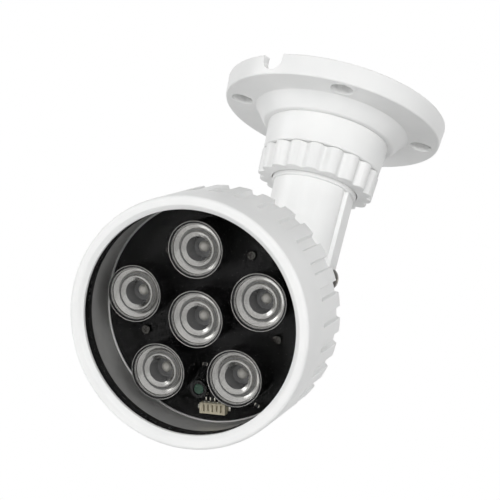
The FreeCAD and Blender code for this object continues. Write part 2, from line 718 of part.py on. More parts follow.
def lens():
    """Collimating lens: a solid cone with a domed recess in front and a well over the emitter."""
    r = holder_bore_r - SEAT
    cone_r = r - LENS_CONE_STEP
    cone_z = lens_z + LENS_FLANGE
    tail_z = BOARD_DEPTH - LENS_TAIL_GAP
    well_z = tail_z - LENS_WELL_DEPTH
    eye_z = lens_z + LENS_EYE_DEPTH
    return turned([
        (0, eye_z - LENS_EYE_RISE), (LENS_EYE_R, eye_z, 0, cap_middle(LENS_EYE_R, eye_z, -LENS_EYE_RISE)),
        (LENS_EYE_R, lens_z, 0.2), (r, lens_z, 0.3), (r, cone_z), (cone_r, cone_z),
        (LENS_TAIL_R, tail_z, 0, bulged(cone_r, cone_z, LENS_TAIL_R, tail_z, -LENS_CONE_BULGE)),
        (LENS_WELL_R, tail_z), (LENS_WELL_R, well_z),
        (0, well_z + LENS_WELL_RISE, 0, cap_middle(LENS_WELL_R, well_z, LENS_WELL_RISE)),
    ])


def emitter():
    half = CHIP_WIDTH / 2
    base = block(-half, half, -half, half, BOARD_DEPTH - CHIP_THICK, BOARD_DEPTH)
    dome = Part.makeSphere(CHIP_DOME_R, V(0, 0, BOARD_DEPTH - CHIP_THICK))
    dome = dome.common(block(-half, half, -half, half, 0, BOARD_DEPTH - CHIP_THICK))
    return base.fuse(dome).removeSplitter()


# Emitter board and what it carries

def led_board():
    plate = rod(stack_r, BOARD_DEPTH, sink_z)
    holes = [rod(BOARD_SCREW_R + 0.1, BOARD_DEPTH - 1, sink_z + 1, *ring_place(board_screw_circle_r, a))
             for a in screw_angles]
    holes += [rod(LINK_R, BOARD_DEPTH - 1, sink_z + 1, *place) for place in link_places()]
    return plate.cut(Part.makeCompound(holes))


def board_screws():
    slot_z = BOARD_DEPTH - BOARD_SCREW_HEAD
    head = turned([
        (0, slot_z), (BOARD_SCREW_HEAD_R, slot_z, BOARD_SCREW_EDGE), (BOARD_SCREW_HEAD_R, BOARD_DEPTH),
        (BOARD_SCREW_R, BOARD_DEPTH), (BOARD_SCREW_R, housing_z - 0.5), (0, housing_z - 0.5),
    ])
    reach, half = BOARD_SCREW_HEAD_R * 0.55, BOARD_SCREW_SLOT / 2
    cross = block(-reach, reach, -half, half, slot_z - 1, slot_z + BOARD_SCREW_HEAD / 2)
    head = head.cut(cross.fuse(spun(cross, 90)))
    return Part.makeCompound([moved(head, *ring_place(board_screw_circle_r, a)) for a in screw_angles])


def light_sensor():
    can = rod(SENSOR_R, SENSOR_FRONT + 0.3, SENSOR_FRONT + 0.3 + SENSOR_THICK)
    lead = rod(SENSOR_LEAD_R, SENSOR_FRONT + SENSOR_THICK, BOARD_DEPTH)
    leads = [moved(lead, s * SENSOR_LEAD_SPREAD, 0) for s in (-1, 1)]
    return moved(can.fuse(leads), *ring_place(sensor_circle_r, service_angle))


def sensor_sleeve():
    sleeve = tube(SENSOR_SLEEVE_R, SENSOR_SLEEVE_R - SENSOR_SLEEVE_WALL, SENSOR_FRONT, BOARD_DEPTH)
    return moved(sleeve, *ring_place(sensor_circle_r, service_angle))


def at_connector(shape):
    """Puts a piece drawn at the origin, with +Y outward, on the connector's place."""
    placed = moved(shape, CONNECTOR_SHIFT, connector_edge - CONNECTOR_DEEP / 2)
    return spun(placed, service_angle - 90)


def pin_places():
    return [(k - (PIN_COUNT - 1) / 2) * PIN_PITCH for k in range(PIN_COUNT)]


def board_connector():
    """Side-entry header: an open box that faces the rim, with a slot over each pin."""
    half, deep, top = CONNECTOR_WIDTH / 2, CONNECTOR_DEEP / 2, BOARD_DEPTH - CONNECTOR_HEIGHT
    wall = CONNECTOR_WALL
    shell = block(-half, half, -deep, deep, top, BOARD_DEPTH)
    cavity = block(-half + wall, half - wall, -deep + 2 * wall, deep + 1, top + wall, BOARD_DEPTH - wall)
    slots = [block(x - PIN_WIDTH / 2, x + PIN_WIDTH / 2, -deep - 1, deep + 1, top - 1, top + wall / 2)
             for x in pin_places()]
    return at_connector(shell.cut(cavity).cut(Part.makeCompound(slots)))


def connector_pins():
    deep, wall = CONNECTOR_DEEP / 2, CONNECTOR_WALL
    foot = BOARD_DEPTH - PIN_WIDTH
    pieces = [block(x - PIN_WIDTH / 2, x + PIN_WIDTH / 2, -deep - PIN_REACH, -deep, foot, BOARD_DEPTH)
              for x in pin_places()]
    half = CONNECTOR_WIDTH / 2
    for s in (-1, 1):
        near, far = s * half, s * (half + TAB_WIDTH)
        pieces.append(block(min(near, far), max(near, far), -TAB_DEEP / 2, TAB_DEEP / 2,
                            BOARD_DEPTH - TAB_HEIGHT, BOARD_DEPTH))
    return at_connector(Part.makeCompound(pieces))


def board_resistors():
    x, y = RESISTOR_LENGTH / 2, RESISTOR_WIDTH / 2
    chip = block(-x, x, -y, y, BOARD_DEPTH - RESISTOR_HEIGHT, BOARD_DEPTH)
    return Part.makeCompound([moved(spun(chip, 25 * k), *ring_place(share * sleeve_inner_r, angle))
                              for k, (share, angle) in enumerate(RESISTOR_PLACES)])


# Driver electronics, sealed in the housing

def standoff_places():
    return [ring_place(standoff_circle_r, 30 + 360 / STANDOFF_COUNT * k) for k in range(STANDOFF_COUNT)]


def link_places():
    return [(LINK_X + s * LINK_SPREAD / 2, LINK_Y) for s in (-1, 1)]


def standoffs():
    return Part.makeCompound([
        rod(STANDOFF_R, housing_z, driver_z, *place).cut(rod(STANDOFF_SCREW_R, housing_z, driver_z, *place))
        for place in standoff_places()])


def standoff_screws():
    back = driver_z + DRIVER_THICK
    one = rod(STANDOFF_SCREW_R, driver_z - 4, back).fuse(
        rod(STANDOFF_SCREW_HEAD_R, back, back + STANDOFF_SCREW_HEAD)).removeSplitter()
    return Part.makeCompound([moved(one, *place) for place in standoff_places()])


def driver_board():
    plate = rod(driver_r, driver_z, driver_z + DRIVER_THICK)
    holes = [rod(STANDOFF_SCREW_R, driver_z - 1, driver_z + DRIVER_THICK + 1, *place)
             for place in standoff_places()]
    return plate.cut(Part.makeCompound(holes))


def driver_coil():
    back = driver_z + DRIVER_THICK
    flange = 1.2
    return moved(turned([
        (0, back), (COIL_R, back), (COIL_R, back + flange), (COIL_R * 0.8, back + flange),
        (COIL_R * 0.8, back + COIL_HEIGHT - flange), (COIL_R, back + COIL_HEIGHT - flange),
        (COIL_R, back + COIL_HEIGHT), (0, back + COIL_HEIGHT),
    ]), COIL_X, 0)


def driver_capacitor():
    back = driver_z + DRIVER_THICK
    return moved(turned([
        (0, back), (CAPACITOR_R, back), (CAPACITOR_R, back + CAPACITOR_HEIGHT, 0.6),
        (0, back + CAPACITOR_HEIGHT),
    ]), CAPACITOR_X, 0)


def driver_chip():
    length, width, height = DRIVER_CHIP
    back = driver_z + DRIVER_THICK
    return moved(block(-length / 2, length / 2, -width / 2, width / 2, back, back + height), 0, DRIVER_CHIP_Y)


def link_wires():
    """Two straight links that carry current from the driver board to the emitter board."""
    return Part.makeCompound([rod(LINK_R, BOARD_DEPTH, driver_z, *place) for place in link_places()])


# Placing and writing

HEAD_PLACE = FreeCAD.Placement(pivot, FreeCAD.Rotation(V(1, 0, 0), -TILT)).multiply(
    FreeCAD.Placement(V(0, 0, -HEAD_REACH), FreeCAD.Rotation()))

bracket_pieces = {
    "bracket_base": bracket_base, "slip_washer": slip_washer, "lock_collar": lock_collar,
    "upper_arm": upper_arm, "pivot_screw": pivot_screw,
}
head_pieces = {
    "lower_arm": lower_arm, "elbow_disc": elbow_disc, "nut_washer": nut_washer, "pivot_nut": pivot_nut,
    "stem_gasket": stem_gasket, "stem_nut": stem_nut, "housing": housing, "housing_oring": housing_oring,
    "cable_seal": cable_seal,
    "front_bezel": front_bezel, "window_gasket": window_gasket, "window_glass": window_glass,
    "inner_sleeve": inner_sleeve, "led_board": led_board, "heat_sink": heat_sink,
    "board_screws": board_screws, "light_sensor": light_sensor, "sensor_sleeve": sensor_sleeve,
    "board_connector": board_connector, "connector_pins": connector_pins,
    "board_resistors": board_resistors, "standoffs": standoffs, "standoff_screws": standoff_screws,
    "driver_board": driver_board, "driver_coil": driver_coil, "driver_capacitor": driver_capacitor,
    "driver_chip": driver_chip, "link_wires": link_wires,
}
module_pieces = {"lens_holder": lens_holder, "lens": lens, "emitter": emitter}


def write(name, shape):
    shape.exportStep("parts/" + name + ".step")


def in_head(shape):
    copy = shape.copy()
    copy.Placement = HEAD_PLACE.multiply(copy.Placement)
    return copy


for name, make in bracket_pieces.items():
    write(name, make())
for name, make in head_pieces.items():
    write(name, in_head(make()))
module_places = [(0.0, 0.0)] + [ring_place(emitter_circle_r, a) for a in emitter_angles]
for name, make in module_pieces.items():
    shape = make()
    for number, place in enumerate(module_places, 1):
        write(f"{name}_{number}", in_head(moved(shape, *place)))
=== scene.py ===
import math

import bmesh
import bpy
from mathutils import Matrix, Vector


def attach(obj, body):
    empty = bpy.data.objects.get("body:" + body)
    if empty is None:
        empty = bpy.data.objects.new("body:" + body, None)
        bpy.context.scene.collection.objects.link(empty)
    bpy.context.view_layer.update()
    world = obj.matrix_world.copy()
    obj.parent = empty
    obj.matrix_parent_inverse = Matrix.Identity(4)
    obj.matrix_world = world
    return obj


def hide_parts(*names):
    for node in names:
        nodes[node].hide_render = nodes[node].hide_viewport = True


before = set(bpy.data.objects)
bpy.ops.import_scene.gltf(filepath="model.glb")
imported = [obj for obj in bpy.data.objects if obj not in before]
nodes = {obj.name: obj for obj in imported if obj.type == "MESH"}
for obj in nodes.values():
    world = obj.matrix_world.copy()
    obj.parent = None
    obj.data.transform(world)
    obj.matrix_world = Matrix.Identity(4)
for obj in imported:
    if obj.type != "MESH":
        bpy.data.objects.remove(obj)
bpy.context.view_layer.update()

# Sizes are in millimetres and angles in degrees. Pieces of the bracket are drawn in the row frame.
# Pieces of the head are drawn in the head's own frame: the front face lies in z = 0, +z runs to
# the rear along the optical axis, +x is the elbow's axis and +y is the head's underside.
MM = 0.001
SHARP = 32.0            # edges that turn by more stay sharp

# Places of the bracket and the head
PIVOT_DROP = 81.5       # mounting face to elbow axis
HEAD_REACH = 120.7      # head's front face to elbow axis
TILT = 62.6             # head axis from straight down

# Bracket base
BASE_R = 50.7
UNDER_R = 49.8
BASE_DEPTH = 9.0
PLATE_Z = -5.5
RIM_INNER_R = 46.8
BOLT_CIRCLE_R = 42.0
BOLT_COUNT = 4
BOLT_PHASE = 18.5
BOLT_HOLE_R = 2.6
BOLT_SINK_R = 4.6
BOLT_SINK_DEPTH = 4.5
# Rim of a counterbore: radius beyond the bore's, place inside the underside, rounding
SINK_RIM = ((1.0, -0.5, 0.0), (0.35, 0.3, 0.6), (0.0, 1.0, 0.6))
BOLT_BOSS_R = 6.2
NOTCH_ANGLE = 249.0
NOTCH_R = 5.1
NOTCH_DEPTH = 7.0
NOTCH_STEP = 6.0        # turn of the notch's line between two points
BASE_EDGE = 0.3
FLARE_R = 35.5
FLARE_FOOT_R = 30.0
NECK_TOP_Z = -16.0
NECK_TOP_R = 27.7
NECK_END_Z = -29.0
NECK_END_R = 26.6
THREAD_R = 22.7
THREAD_END_Z = -36.0
NECK_BORE_R = 18.05
HOLLOW_R = 33.0
HOLLOW_Z = -17.5

# Locking collar
COLLAR_TOP_Z = -29.2
COLLAR_END_Z = -40.8
COLLAR_TOP_R = 27.0
COLLAR_END_R = 26.2
COLLAR_LOBES = 18
COLLAR_PHASE = 9.0      # angle of the first valley
COLLAR_VALLEY = 2.2
COLLAR_CROWN = 0.25     # part of that depth where the crown between two valleys starts
COLLAR_HALF = 0.34      # half width of a valley, as a share of the pitch
COLLAR_COLUMNS = 24     # points round one lobe
COLLAR_EDGE = 0.5
COLLAR_BORE_R = 22.75
COLLAR_LIP_Z = -39.0
COLLAR_MOUTH_R = 19.7

# Elbow
ARM_EDGE = 0.4
ARM_ANGLE = 28.0        # edges of the arms that turn by more are rounded
RIB_FACE_X = 17.7
SCREW_R = 2.5
SCREW_HEAD_R = 4.5
SCREW_HEAD_HEIGHT = 3.8
SCREW_DOME = 2.1        # height of the head's dome
SCREW_SLOT = (2.1, 0.6, 1.5)    # half length, half width and depth of one slot
SCREW_TURNS = (16, 106)
SCREW_GLINT_R = 2.3    # faces of the recess inside this radius are painted bright as glints
SCREW_END_X = -16.9

# Front bezel
BEZEL_R = 47.0
BEZEL_LENGTH = 39.5
BEZEL_BORE_R = 44.2
LIP_R = 41.77
LIP_SETBACK = 1.65
LIP_BACK_Z = 3.15
CHAMFER_R = 43.67
TEETH = 30
TOOTH_START = 18.2
TOOTH_RUN = 4.0         # lengths of plain wall and notch beside the start that carry the rounding
TOOTH_FLOOR_R = 45.2
TOOTH_EDGE = 1.2
NOTCH_FLOOR = 3.5       # width of a notch's floor
NOTCH_TOP = 4.6         # width of a notch at the bezel's outside
TOOTH_STEP = 15.0       # turn of the rounded edges between two points
LIP_STEP = 9.0
TOOTH_PHASE = 4.4

# Window stack
GLASS_Z = 3.55
GLASS_END_Z = 6.55
GLASS_R = 43.55
GASKET_INNER_R = 42.75
GASKET_BACK_R = 41.9
GASKET_R = 43.95
GASKET_END_Z = 9.05
SLEEVE_R = 43.6
SLEEVE_INNER_R = 42.7
BOARD_Z = 25.4

# Emitters
EMITTER_CIRCLE_R = 26.0
EMITTER_COUNT = 5
BOARD_ROLL = -6.5
HOLDER_Z = 9.7
HOLDER_R = 10.75
HOLDER_BORE_R = 9.95
HOLDER_FOOT_R = 11.1
HOLDER_FOOT = 1.0
HOLDER_WAIST = 0.35
HOLDER_RIM = 1.5        # length of the wide part under the front edge
RING_WIDTH = 0.3        # ring at the holder's outer edge, painted bright as a highlight
RING_HEIGHT = 0.25
LENS_Z = 10.1
LENS_R = 9.9
BOWL_EDGE = (9.15, LENS_Z + 1.1)
BOWL_FOOT = (7.3, LENS_Z + 2.35)
CREST = (6.3, LENS_Z + 1.35)
INNER_EDGE = (4.65, LENS_Z + 2.45)
WELL_Z = LENS_Z + 8.5
WELL_R = 3.9
DOME_R = 2.1
DOME_RISE = 1.3
TAIL = (5.2, BOARD_Z - 2.2)
PAINTED_SHADE_LINE = (6.85, 7.25)    # radii of a line painted dark at the bowl's foot as shade
DARK_EDGE_R = 9.8
DARK_BACK_Z = LENS_Z + 2.6

# Housing
HOUSING_R = 43.0
HOUSING_Z = 39.9
REAR_Z = 82.9
DOME_Z = 44.5
DOME_MID = (35.4, 62.66)
DOME_END_R = 21.5

# Things on the board
SENSOR_R = 1.95
SENSOR_Z = 12.9
SENSOR_THICK = 2.0
LEAD_R = 0.3
LEAD_PLACES = (-1.2, 1.2)
SENSOR_CIRCLE_R = 27.1
SERVICE_ANGLE = 83.5
CONNECTOR_PLACE = (1.6, 36.99)
CONNECTOR_WIDTH = 10.4
CONNECTOR_DEEP = 4.1
CONNECTOR_Z = 22.4
CONNECTOR_STEP = 0.6    # from the mouth back to the roof, the floor and the ribs
PIN_COUNT = 5
PIN_PITCH = 1.75
RESISTOR_TURN = 25      # each chip part is turned by this much more than the one before
RESISTORS = ((20.5, 90.0), (39.28, 54.9), (38.3, 126.5), (32.88, 69.5))


def place_matrix(head):
    """Matrix from a piece's drawing, in millimetres, to the row frame, in metres."""
    scale = Matrix.Scale(MM, 4)
    if not head:
        return scale
    turn = Matrix.Rotation(math.radians(-TILT), 4, "X")
    return (scale @ Matrix.Translation((0, 0, -PIVOT_DROP)) @ turn
            @ Matrix.Translation((0, 0, -HEAD_REACH)))


# Outlines

def arc_points(a, m, b, step):
    """Points from a to b, without a, on the circle through a, m and b."""
    ax, ay = a[0] - m[0], a[1] - m[1]
    bx, by = b[0] - m[0], b[1] - m[1]
    cross = 2 * (ax * by - ay * bx)
    if abs(cross) < 1e-9:
        return [b]
    aa, bb = ax * ax + ay * ay, bx * bx + by * by
    cx, cy = m[0] + (by * aa - ay * bb) / cross, m[1] + (ax * bb - bx * aa) / cross
    radius = math.hypot(a[0] - cx, a[1] - cy)
    start = math.atan2(a[1] - cy, a[0] - cx)
    middle = (math.atan2(m[1] - cy, m[0] - cx) - start) % (2 * math.pi)
    sweep = (math.atan2(b[1] - cy, b[0] - cx) - start) % (2 * math.pi)
    if middle > sweep:
        sweep -= 2 * math.pi
    count = max(2, math.ceil(abs(sweep) / math.radians(step)))
    return [(cx + radius * math.cos(start + sweep * k / count),
             cy + radius * math.sin(start + sweep * k / count)) for k in range(1, count)] + [b]


def outline(points, step=10.0, closed=True):
    """Points of a line through (u, v), (u, v, rounding) or (u, v, 0, middle of the arc to it)."""
    result = []
    count = len(points)
    for k, point in enumerate(points):
        here = (point[0], point[1])
        if len(point) > 3:
            result += arc_points(result[-1], point[3], here, step)
            continue
        radius = point[2] if len(point) > 2 else 0
        if radius == 0 or (not closed and k in (0, count - 1)):
            result.append(here)
            continue
        before = Vector(points[k - 1][:2]) - Vector(here)
        after = Vector(points[(k + 1) % count][:2]) - Vector(here)
        half = before.angle(after) / 2
        before.normalize()
        after.normalize()
        reach = radius / math.tan(half)
        a = Vector(here) + before * reach
        b = Vector(here) + after * reach
        m = Vector(here) + (before + after).normalized() * (radius / math.sin(half) - radius)
        result.append(tuple(a))
        result += arc_points(tuple(a), tuple(m), tuple(b), step)
    return result


def bulged(a, b, bulge):
    """Middle of an arc from a to b that stands out to the right of its chord."""
    length = math.hypot(b[0] - a[0], b[1] - a[1])
    return ((a[0] + b[0]) / 2 - (b[1] - a[1]) / length * bulge,
            (a[1] + b[1]) / 2 + (b[0] - a[0]) / length * bulge)


def cap_middle(radius, edge, rise):
    """Middle of a dome's arc from (radius, edge) to the axis, where the dome is rise further on."""
    ball = (radius ** 2 + rise ** 2) / (2 * abs(rise))
    half = math.asin(min(1.0, radius / ball)) / 2
    drop = math.copysign(ball * (1 - math.cos(half)), rise)
    return ball * math.sin(half), edge + rise - drop


def on_ring(radius, angle):
    return radius * math.cos(math.radians(angle)), radius * math.sin(math.radians(angle))


# Meshes

def linked(name, data):
    obj = bpy.data.objects.new(name, data)
    bpy.context.scene.collection.objects.link(obj)
    return obj


def shade(mesh, sharp=SHARP):
    mesh.shade_smooth()
    mesh.set_sharp_from_angle(angle=math.radians(sharp))


def new_object(name, vertices, faces, sharp=SHARP):
    """Object with smooth faces, and sharp edges where the surface turns by more than the angle."""
    mesh = bpy.data.meshes.new(name)
    mesh.from_pydata(vertices, [], faces)
    mesh.validate()
    work = bmesh.new()
    work.from_mesh(mesh)
    bmesh.ops.remove_doubles(work, verts=work.verts, dist=1e-5)
    bmesh.ops.recalc_face_normals(work, faces=work.faces)
    work.to_mesh(mesh)
    work.free()
    shade(mesh, sharp)
    return linked(name, mesh)


def swept(name, angles, section_at):
    """Closed band round Z. section_at(angle) gives the closed section, always as many (r, z)."""
    sections = [section_at(a) for a in angles]
    count, rows = len(angles), len(sections[0])
    vertices = []
    for angle, section in zip(angles, sections):
        c, s = on_ring(1.0, angle)
        vertices += [(r * c, r * s, z) for r, z in section]
    faces = []
    for k in range(count):
        near, far = k * rows, (k + 1) % count * rows
        for j in range(rows):
            following = (j + 1) % rows
            faces.append((near + j, far + j, far + following, near + following))
    return new_object(name, vertices, faces)


def lathe(name, points, segments=192, sharp=SHARP, step=10.0):
    """Solid of revolution about Z from a closed (r, z) outline. Points on the axis become poles."""
    section = outline(points, step)
    vertices, faces, rings = [], [], []
    for r, z in section:
        if r < 1e-6:
            rings.append([len(vertices)] * segments)
            vertices.append((0, 0, z))
        else:
            rings.append(list(range(len(vertices), len(vertices) + segments)))
            vertices += [(*on_ring(r, 360 * k / segments), z) for k in range(segments)]
    for j, ring in enumerate(rings):
        other = rings[(j + 1) % len(rings)]
        if ring[0] == ring[1] and other[0] == other[1]:
            continue
        for k in range(segments):
            n = (k + 1) % segments
            corners = (ring[k], ring[n], other[n], other[k])
            faces.append(tuple(dict.fromkeys(corners)))
    return new_object(name, vertices, faces, sharp)


def prism(name, points, depth, step=10.0):
    """Outline in x and y, drawn out along z from 0 to depth."""
    flat = outline(points, step)
    count = len(flat)
    vertices = [(x, y, 0) for x, y in flat] + [(x, y, depth) for x, y in flat]
    faces = [tuple(range(count)), tuple(range(2 * count - 1, count - 1, -1))]
    faces += [(k, (k + 1) % count, count + (k + 1) % count, count + k) for k in range(count)]
    return new_object(name, vertices, faces)


def box(name, x0, x1, y0, y1, z0, z1):
    obj = prism(name, [(x0, y0), (x1, y0), (x1, y1), (x0, y1)], z1 - z0)
    obj.data.transform(Matrix.Translation((0, 0, z0)))
    return obj


def moved(obj, x=0.0, y=0.0, z=0.0, turn=0.0):
    """Turns the drawing about Z, then moves it."""
    obj.data.transform(Matrix.Translation((x, y, z)) @ Matrix.Rotation(math.radians(turn), 4, "Z"))
    return obj


def away_from_axis(face):
    """A face's distance from the drawing's Z axis."""
    return math.hypot(face.center.x, face.center.y)


def copy_of(obj, name):
    return linked(name, obj.data.copy())


def joined(name, objects):
    """One object from several, which are removed."""
    work = bmesh.new()
    for obj in objects:
        work.from_mesh(obj.data)
        bpy.data.objects.remove(obj)
    mesh = bpy.data.meshes.new(name)
    work.to_mesh(mesh)
    work.free()
    shade(mesh)
    return linked(name, mesh)


def settle(obj):
    """Applies the object's modifiers to its mesh."""
    graph = bpy.context.evaluated_depsgraph_get()
    graph.update()
    mesh = bpy.data.meshes.new_from_object(obj.evaluated_get(graph))
    obj.modifiers.clear()
    obj.data = mesh
    return obj


def combined(obj, other, operation):
    """Exact boolean of obj with other, which is removed."""
    modifier = obj.modifiers.new("combine", "BOOLEAN")
    modifier.operation = operation
    modifier.solver = "EXACT"
    modifier.object = other
    settle(obj)
    bpy.data.objects.remove(other)
    return obj


def softened(obj, width, segments=2, angle=40.0):
    """Rounds the edges that turn by more than the given angle."""
    modifier = obj.modifiers.new("soften", "BEVEL")
    modifier.width = width
    modifier.segments = segments
    modifier.limit_method = "ANGLE"
    modifier.angle_limit = math.radians(angle)
    modifier.use_clamp_overlap = True
    settle(obj)
    shade(obj.data)
    return obj


def paint(obj, *materials):
    obj.data.materials.clear()
    for material in materials:
        obj.data.materials.append(material)


def enter(obj, body, node):
    """Gives the piece its body, in the place of the CAD node, which is hidden."""
    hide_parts(node)
    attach(obj, body)


def dress(obj, slot, body, node, *materials):
    """Puts the drawing in the row frame and enters it there. The head's drawings move with it."""
    obj.data.transform(place_matrix(body == "head"))
    if materials:
        paint(obj, *materials)
    enter(obj, body, node)


# Materials

FINE = 0.0001           # height of a fine bump, in metres


class Surface:
    """A material with one Principled shader and a few short ways to wire it."""

    def __init__(self, name, **values):
        self.material = bpy.data.materials.new(name)
        self.material.use_nodes = True
        self.tree = self.material.node_tree
        self.shader = self.tree.nodes["Principled BSDF"]
        for key, value in values.items():
            self.shader.inputs[key.replace("_", " ")].default_value = value

    def node(self, kind, **inputs):
        made = self.tree.nodes.new(kind)
        for key, value in inputs.items():
            socket = made.inputs[key.replace("_", " ")]
            if isinstance(value, bpy.types.NodeSocket):
                self.tree.links.new(value, socket)
            else:
                socket.default_value = value
        return made

    def noise(self, scale, detail=2.0):
        place = self.node("ShaderNodeTexCoord").outputs["Object"]
        made = self.node("ShaderNodeTexNoise", Vector=place, Scale=scale, Detail=detail)
        return made.outputs["Fac"]

    def ranged(self, value, low, high, start=0.3, end=0.7):
        made = self.node("ShaderNodeMapRange", Value=value, From_Min=start, From_Max=end,
                         To_Min=low, To_Max=high)
        return made.outputs["Result"]

    def blended(self, factor, a, b):
        made = self.tree.nodes.new("ShaderNodeMix")
        made.data_type = "RGBA"
        self.tree.links.new(factor, made.inputs[0])
        made.inputs[6].default_value = (*a, 1)
        made.inputs[7].default_value = (*b, 1)
        return made.outputs[2]

    def drive(self, socket, value):
        self.tree.links.new(value, self.shader.inputs[socket])

    def bump(self, height, strength, distance):
        made = self.node("ShaderNodeBump", Height=height, Strength=strength, Distance=distance)
        self.drive("Normal", made.outputs["Normal"])


def grey(value):
    return (value, value, value)


def white_paint():
    s = Surface("white_paint", Specular_IOR_Level=0.4, Coat_Weight=0.15, Coat_Roughness=0.10)
    tone = s.ranged(s.noise(60.0), 0, 1)
    s.drive("Base Color", s.blended(tone, (0.83, 0.835, 0.83), (0.87, 0.872, 0.865)))
    s.drive("Roughness", s.ranged(s.noise(260.0, 4.0), 0.36, 0.44))
    s.bump(s.noise(1100.0, 1.0), 0.06, 0.0002)
    return s.material


def window_glass():
    """Clear glass that lets lamps through and hardly mirrors."""
    tint = (*grey(0.99), 1)
    s = Surface("window_glass", Base_Color=tint, Transmission_Weight=1.0, IOR=1.015, Roughness=0.0)
    through = s.node("ShaderNodeBsdfTransparent", Color=tint)
    path = s.node("ShaderNodeLightPath")
    mix = s.tree.nodes.new("ShaderNodeMixShader")
    links = s.tree.links
    links.new(path.outputs["Is Shadow Ray"], mix.inputs[0])
    links.new(s.shader.outputs[0], mix.inputs[1])
    links.new(through.outputs[0], mix.inputs[2])
    links.new(mix.outputs[0], s.tree.nodes["Material Output"].inputs["Surface"])
    return s.material


def rubber():
    s = Surface("black_rubber", Base_Color=(*grey(0.012), 1))
    s.drive("Roughness", s.ranged(s.noise(400.0, 3.0), 0.38, 0.55))
    s.bump(s.noise(1800.0, 2.0), 0.15, FINE)
    return s.material


def gloss_black(name, value, low, high, level, grain=0.04):
    s = Surface(name, Base_Color=(*grey(value), 1), Specular_IOR_Level=level)
    s.drive("Roughness", s.ranged(s.noise(180.0, 3.0), low, high))
    if grain:
        s.bump(s.noise(900.0, 2.0), grain, FINE)
    return s.material


def grained(name, metallic, colour, dark, low, high, scale, detail, finer, strength):
    """Colour down to dark times itself, roughness from low to high, and a bump finer than both."""
    s = Surface(name, Metallic=metallic)
    darker = tuple(dark * c for c in colour)
    s.drive("Base Color", s.blended(s.ranged(s.noise(scale, 3.0), 0, 1), darker, colour))
    s.drive("Roughness", s.ranged(s.noise(scale * 2, detail), low, high))
    s.bump(s.noise(scale * finer, 2.0), strength, FINE)
    return s.material


def metal(name, colour, low, high, scale=500.0):
    return grained(name, 1.0, colour, 0.86, low, high, scale, 4.0, 3, 0.05)


def satin(name, metallic, colour, low, high, scale):
    return grained(name, metallic, colour, 0.92, low, high, scale, 4.0, 3, 0.05)


def plastic(name, colour, low, high, scale=600.0):
    return grained(name, 0.0, colour, 0.88, low, high, scale, 3.0, 4, 0.08)


PAINT = white_paint()
WINDOW = window_glass()
BOWL = metal("lens_bowl", (0.44, 0.435, 0.42), 0.19, 0.24, 200.0)
# Dark optic faces; on the lens it also paints shade in the eye's well and at the bowl's foot
OPTIC_DARK_AND_SHADE = gloss_black("lens_dark_and_shade", 0.08, 0.16, 0.22, 0.75)
# Painted highlight: bright metal for the thin ring at the holder's front edge
RIM_HIGHLIGHT = metal("holder_rim_highlight", (0.42, 0.415, 0.40), 0.16, 0.22, 300.0)
EYE = plastic("emitter_dome", (0.40, 0.39, 0.36), 0.25, 0.35, 300.0)
RUBBER = rubber()
BOARD = gloss_black("board_black", 0.006, 0.24, 0.27, 0.22, 0.0)
HOLDER = gloss_black("holder_black", 0.006, 0.10, 0.14, 0.30)
SLEEVE = satin("sleeve_silver", 0.62, (0.60, 0.60, 0.585), 0.30, 0.38, 300.0)
SCREW = metal("pivot_screw_steel", (0.10, 0.097, 0.09), 0.12, 0.20)
TIN = metal("pin_tin", (0.85, 0.82, 0.74), 0.15, 0.25)
STEEL = metal("screw_steel", (0.62, 0.60, 0.56), 0.18, 0.30)
ALUMINIUM = metal("plain_aluminium", (0.78, 0.78, 0.78), 0.32, 0.45)
COPPER = metal("link_copper", (0.80, 0.48, 0.33), 0.2, 0.3)
CREAM = plastic("connector_cream", (0.56, 0.51, 0.38), 0.35, 0.5)
CERAMIC = plastic("emitter_body", (0.62, 0.60, 0.52), 0.3, 0.4)
DARK_CHIP = plastic("chip_dark", grey(0.03), 0.3, 0.45)
FIBRE = plastic("disc_fibre", grey(0.10), 0.6, 0.8)
GREEN_BOARD = plastic("driver_green", (0.02, 0.12, 0.05), 0.25, 0.35)
FERRITE = plastic("coil_ferrite", grey(0.05), 0.6, 0.8)
SENSOR_GREEN = plastic("sensor_green", (0.010, 0.034, 0.020), 0.25, 0.35)

# CAD nodes that stay as they are and only get a material
CAD_FINISH = {
    "slip_washer": FIBRE, "elbow_disc": FIBRE, "pivot_nut": STEEL, "nut_washer": STEEL,
    "stem_nut": STEEL, "standoff_screws": STEEL, "standoffs": STEEL, "stem_gasket": RUBBER,
    "housing_oring": RUBBER, "cable_seal": RUBBER, "heat_sink": ALUMINIUM,
    "driver_board": GREEN_BOARD, "driver_coil": FERRITE, "driver_capacitor": ALUMINIUM,
    "driver_chip": DARK_CHIP, "link_wires": COPPER, "led_board": BOARD, "board_screws": SCREW,
    "sensor_sleeve": HOLDER,
}
CAD_FINISH.update({f"emitter_{k}": CERAMIC for k in range(1, EMITTER_COUNT + 2)})


def dress_cad_nodes():
    for name, material in CAD_FINISH.items():
        obj = nodes[name]
        for place in obj.material_slots:
            place.material = material
        shade(obj.data)


# Bracket

